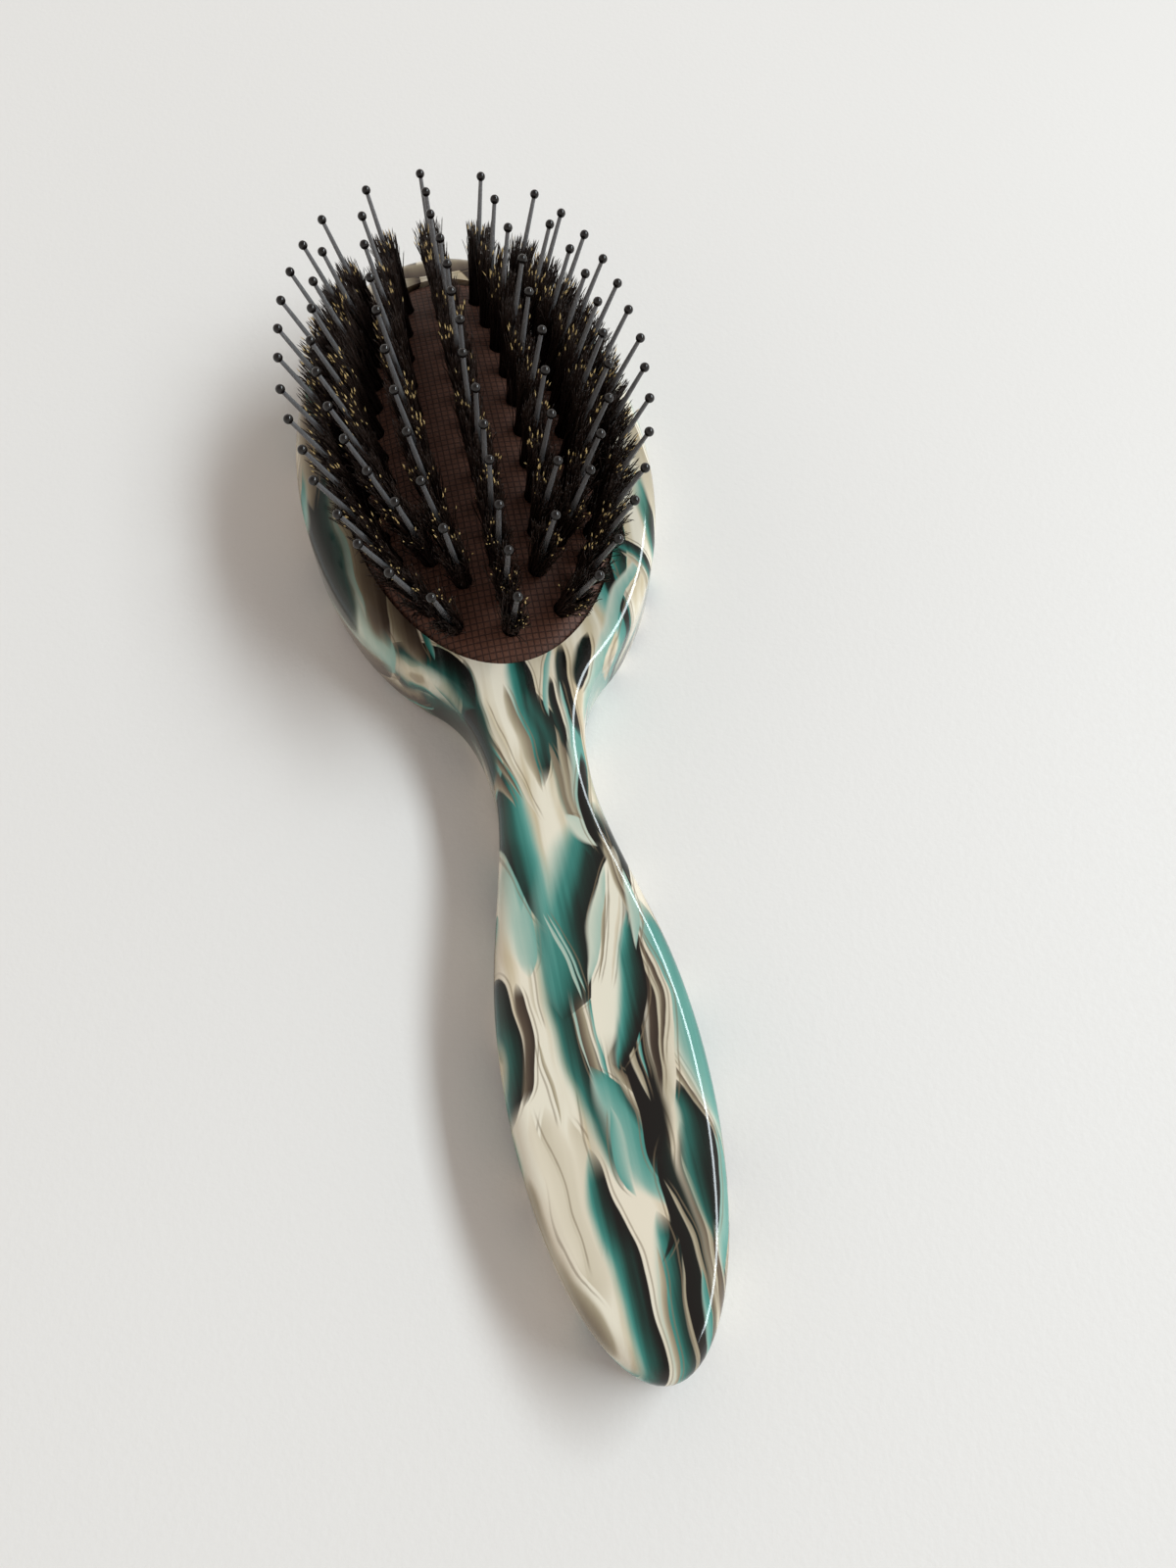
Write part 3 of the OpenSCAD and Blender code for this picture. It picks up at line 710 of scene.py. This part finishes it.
def blade_points(middles, radii, turn):
    """The points of a bristle in its tuft's own frame, in mm, ring by ring, with the tip last."""
    points = []
    for (x, y, z), radius in zip(middles, radii):
        for k in range(HAIR_SIDES):
            a = turn + 2 * math.pi * k / HAIR_SIDES
            points.append((x + radius * math.cos(a), y + radius * math.sin(a), z))
    return [*points, middles[-1]]


def blade_faces(start):
    """The faces that close a bristle whose points begin at that index."""
    faces = [tuple(start + k for k in reversed(range(HAIR_SIDES)))]
    for ring in range(len(HAIR_RINGS) - 1):
        low = start + ring * HAIR_SIDES
        for k in range(HAIR_SIDES):
            n = (k + 1) % HAIR_SIDES
            faces.append((low + k, low + n, low + HAIR_SIDES + n, low + HAIR_SIDES + k))
    last = start + (len(HAIR_RINGS) - 1) * HAIR_SIDES
    tip = last + HAIR_SIDES
    for k in range(HAIR_SIDES):
        faces.append((last + k, last + (k + 1) % HAIR_SIDES, tip))
    return faces


def tuft_frame(direction):
    """A tuft's own axes: across its column, along its column, and up the tuft."""
    up = Vector(direction)
    along = (Vector((0, 1, 0)) - up * up.y).normalized()
    return np.array([along.cross(up), along, up])


def make_tufts(side, tufts, seed, material):
    """A column of tufts, every bristle a closed tapered blade."""
    draw = random.Random(seed)
    ring_shares = [share for share in HAIR_RINGS for _ in range(HAIR_SIDES)] + [1.0]
    verts, faces, along, gold_of = [], [], [], []
    for root, direction in tufts:
        axes = tuft_frame(direction)
        lit = draw.uniform(0, 2 * math.pi)
        for _ in range(HAIRS):
            middles, radii, gold = hair_line(draw, lit)
            points = blade_points(middles, radii, draw.uniform(0, math.pi))
            faces += blade_faces(len(verts))
            verts += [tuple(root + (np.array(point) * MM) @ axes) for point in points]
            along += ring_shares
            gold_of += [gold] * len(points)
    obj = add_mesh("bristles_" + side, verts, faces, material)
    for name, values in (("along", along), ("gold", gold_of)):
        layer = obj.data.attributes.new(name, "FLOAT", "POINT")
        layer.data.foreach_set("value", values)
    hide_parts("tufts_" + side)
    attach(obj, "row_" + side)


# ---------------------------------------------------------------- rubber cushion
def ring(x, y, half_x, half_y, steps):
    """Points round an oval."""
    turns = [2 * math.pi * k / steps for k in range(steps)]
    return [Vector((x + half_x * math.cos(a), y + half_y * math.sin(a))) for a in turns]


def face_up(verts, face, up):
    """The face turned so that its normal points up, or down."""
    a, b, c = (Vector(verts[n]) for n in face)
    points_up = (b - a).cross(c - a).z > 0
    return face if points_up == up else tuple(reversed(face))


class Pad:
    """The shape of the cushion: its dome, its outline and its slanting holes."""

    def __init__(self, tufts):
        low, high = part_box("cushion")
        self.centre = Vector(((low.x + high.x) / 2, (low.y + high.y) / 2))
        self.top = high.z
        rise = self.top - PAD_EDGE_Z
        self.dome_radius = (PAD_RADIUS ** 2 + rise ** 2) / (2 * rise)
        self.tufts = tufts

    def plan_radius(self, x, y):
        return math.hypot(x - self.centre.x, (y - self.centre.y) / PAD_STRETCH)

    def face(self, x, y):
        """The height of the rubber's face, which rolls down at its edge."""
        r = min(self.plan_radius(x, y), PAD_RADIUS)
        height = math.sqrt(self.dome_radius ** 2 - r * r) - (self.dome_radius - self.top)
        roll = max(0.0, r - (PAD_RADIUS - EDGE_ROLL)) / EDGE_ROLL
        return height - EDGE_DROP * roll * roll

    def underside(self, x, y):
        return max(self.face(x, y) - SKIN, PAD_EDGE_Z - RIM_DROP)

    def rim_edges(self):
        """The edges round the outline and round each hole."""
        edges, start = [], 0
        for size in [OUTLINE_STEPS] + [HOLE_STEPS] * len(self.tufts):
            edges += [(start + k, start + (k + 1) % size) for k in range(size)]
            start += size
        return edges

    def sheet(self, step, lift, depth):
        """Fills the outline, at that depth in the rubber, with a lattice of that step round the
        holes. Every second lattice point both ways is lifted. Returns the points in plan, the
        faces, each rim point's index, and how far each point is lifted."""
        holes = np.array([(root[0] - way[0] / way[2] * depth, root[1] - way[1] / way[2] * depth)
                          for root, way in self.tufts])
        centre, half_y = self.centre, PAD_RADIUS * PAD_STRETCH

        def inside(x, y, margin):
            if self.plan_radius(x, y) > PAD_RADIUS - margin:
                return False
            return np.hypot(holes[:, 0] - x, holes[:, 1] - y).min() > HOLE_RADIUS + margin

        points = ring(centre.x, centre.y, PAD_RADIUS, half_y, OUTLINE_STEPS)
        for x, y in holes:
            points += ring(x, y, HOLE_RADIUS, HOLE_RADIUS, HOLE_STEPS)
        rim_count = len(points)
        lifts = [0.0] * rim_count
        columns = int(PAD_RADIUS / step) + 1
        rows = int(half_y / step) + 1
        first_row = round(centre.y / GRID) * GRID
        for i in range(-columns, columns + 1):
            for j in range(-rows, rows + 1):
                x, y = i * step, first_row + j * step
                if inside(x, y, RIM_MARGIN):
                    points.append(Vector((x, y)))
                    lifts.append(lift if i % 2 and j % 2 else 0.0)

        out, _, triangles, origin, _, _ = delaunay_2d_cdt(points, self.rim_edges(), [], 0, 1e-9)
        plan = [(p.x, p.y) for p in out]
        rim = {q: n for n, sources in enumerate(origin) for q in sources if q < rim_count}
        lifted = [lifts[sources[0]] if sources else 0.0 for sources in origin]
        faces = []
        for triangle in triangles:
            x = sum(plan[n][0] for n in triangle) / 3
            y = sum(plan[n][1] for n in triangle) / 3
            if inside(x, y, 0.0):
                faces.append(tuple(triangle))
        return plan, faces, rim, lifted


def finish_skin(mesh):
    """Drops loose points, turns the faces outwards and marks the folds as sharp."""
    bm = bmesh.new()
    bm.from_mesh(mesh)
    loose = [v for v in bm.verts if not v.link_faces]
    bmesh.ops.delete(bm, geom=loose, context="VERTS")
    bmesh.ops.recalc_face_normals(bm, faces=bm.faces)
    for edge in bm.edges:
        if len(edge.link_faces) == 2 and edge.calc_face_angle(0.0) > math.radians(SHARP_FOLD):
            edge.smooth = False
    bm.to_mesh(mesh)
    bm.free()


def make_cushion(tufts, material):
    """The domed rubber: pressed squares on its face, a hole for each tuft, and an underside."""
    pad = Pad(tufts)
    top_plan, top_faces, top_rim, lifted = pad.sheet(GRID / 2, RELIEF, 0.0)
    low_plan, low_faces, low_rim, _ = pad.sheet(GRID * 2, 0.0, SKIN)
    verts = [(x, y, pad.face(x, y) + lift) for (x, y), lift in zip(top_plan, lifted)]
    base = len(verts)
    verts += [(x, y, pad.underside(x, y)) for x, y in low_plan]
    faces = [face_up(verts, face, True) for face in top_faces]
    faces += [face_up(verts, tuple(base + n for n in face), False) for face in low_faces]
    for a, b in pad.rim_edges():
        faces.append((top_rim[b], top_rim[a], base + low_rim[a], base + low_rim[b]))
    obj = add_mesh("cushion_skin", verts, faces, material)
    finish_skin(obj.data)
    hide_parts("cushion")
    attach(obj, "handle")
    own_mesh(obj)


# ---------------------------------------------------------------- stage, light, camera
FLOOR_REACH = 3.0
# Just above the brush's underside, which is at 0, so that its back shows from below.
FLOOR_Z = 0.1 * MM
ROOM_STOPS = [
    (0.00, (0.66, 0.600, 0.555)),
    (0.45, (0.56, 0.510, 0.470)),
    (0.95, (0.24, 0.215, 0.200)),
]
ROOM_STRENGTH = 1.22
CAMERA_PLACE = (-0.0143, -0.0910, 0.1841)
CAMERA_RIGHT = (0.9776, -0.2082, 0.0302)
CAMERA_UP = (0.1776, 0.8937, 0.4121)
CAMERA_BACK = (-0.1128, -0.3975, 0.9106)


def add_floor(material):
    corners = [(-1, -1), (1, -1), (1, 1), (-1, 1)]
    verts = [(x * FLOOR_REACH, y * FLOOR_REACH, FLOOR_Z) for x, y in corners]
    add_mesh("floor", verts, [(0, 1, 2, 3)], material, smooth=False)


def add_area(name, place, aim, size, watts, colour):
    data = bpy.data.lights.new(name, "AREA")
    data.shape = "RECTANGLE"
    data.size, data.size_y = size
    data.energy = watts
    data.color = colour
    lamp = bpy.data.objects.new(name, data)
    lamp.location = place
    lamp.rotation_euler = (Vector(aim) - Vector(place)).to_track_quat("-Z", "Y").to_euler()
    bpy.context.scene.collection.objects.link(lamp)


def add_world():
    """A warm room, darker towards its ceiling."""
    world = bpy.data.worlds.new("room")
    world.use_nodes = True
    w = Wires(world.node_tree)
    rise = w.split(w.node("ShaderNodeTexCoord").outputs["Generated"])["Z"]
    background = world.node_tree.nodes["Background"]
    w.put(background.inputs["Color"], w.ramp(rise, ROOM_STOPS))
    background.inputs["Strength"].default_value = ROOM_STRENGTH
    bpy.context.scene.world = world


def add_camera():
    data = bpy.data.cameras.new("camera")
    data.sensor_fit = "AUTO"
    data.sensor_width = 36.0
    data.lens = 27.02
    data.clip_start = 0.01
    camera = bpy.data.objects.new("camera", data)
    turn = Matrix((CAMERA_RIGHT, CAMERA_UP, CAMERA_BACK)).transposed()
    camera.matrix_world = Matrix.Translation(CAMERA_PLACE) @ turn.to_4x4()
    bpy.context.scene.collection.objects.link(camera)
    bpy.context.scene.camera = camera


# ---------------------------------------------------------------- build
all_tufts = {side: tuft_axes(side) for side in SIDES}
dress_node(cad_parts["handle"], acetate(), HANDLE_EDGE)
nylon_material, resin_material = nylon(), resin()
for side in SIDES:
    dress_node(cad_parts["pins_" + side], nylon_material, PIN_EDGE)
    dress_node(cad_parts["ball_tips_" + side], resin_material, PIN_EDGE)
make_cushion([tuft for side in SIDES for tuft in all_tufts[side]], rubber())
bristle_material = bristle()
for number, side in enumerate(SIDES):
    make_tufts(side, all_tufts[side], FIRST_SEED + number, bristle_material)
add_floor(table_top())
add_area("window", place=(2.20, 0.04, 2.30), aim=(0, 0, 0.01), size=(3.2, 0.62), watts=86.0,
         colour=(0.90, 1.0, 1.05))
add_world()
add_camera()
bpy.context.scene.view_settings.view_transform = "Standard"
